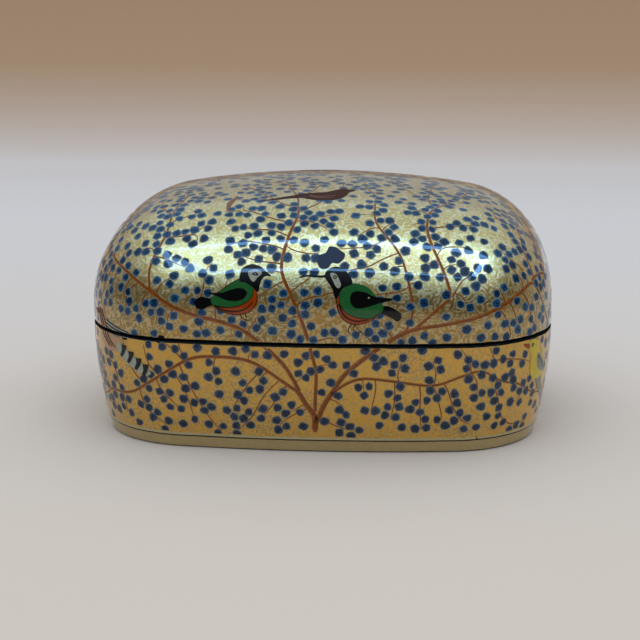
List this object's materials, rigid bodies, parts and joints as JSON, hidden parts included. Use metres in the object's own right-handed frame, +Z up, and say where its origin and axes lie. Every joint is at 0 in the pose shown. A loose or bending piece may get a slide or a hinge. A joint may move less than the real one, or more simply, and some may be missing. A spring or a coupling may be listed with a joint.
{
  "type": "papier mache box",
  "caption": "Oblong lidded box with rounded corners: a moulded lift-off lid with a domed top seats over a bent collar in a tapering body.",
  "frame": {"origin": "centre of the underside of the bottom board, on the surface that the box stands on", "axes": "+X along the length, +Z up, the painted front faces -Y"},
  "size_m": [0.15, 0.114, 0.0796],
  "materials": {
    "lid_lacquer": "moulded paper with a painted and gilded ground under gloss lacquer",
    "body_lacquer": "moulded paper with a speckled ochre ground under gloss lacquer",
    "board_lacquer": "laminated paper board, plain olive paint under lacquer",
    "edging_paint": "narrow paper strip, pale paint under lacquer",
    "inside_lacquer": "bent paper board, black lacquer"
  },
  "bodies": {
    "base": {"base_board": "board_lacquer", "body_wall": "body_lacquer", "edging_strip": "edging_paint", "collar": "inside_lacquer"},
    "lid": {"lid_shell": "lid_lacquer"}
  },
  "joints": [
    {"name": "lid_lift", "type": "slide", "parent": "base", "child": "lid", "axis": [0, 0, 1], "range_m": [0, 0.09]}
  ]
}
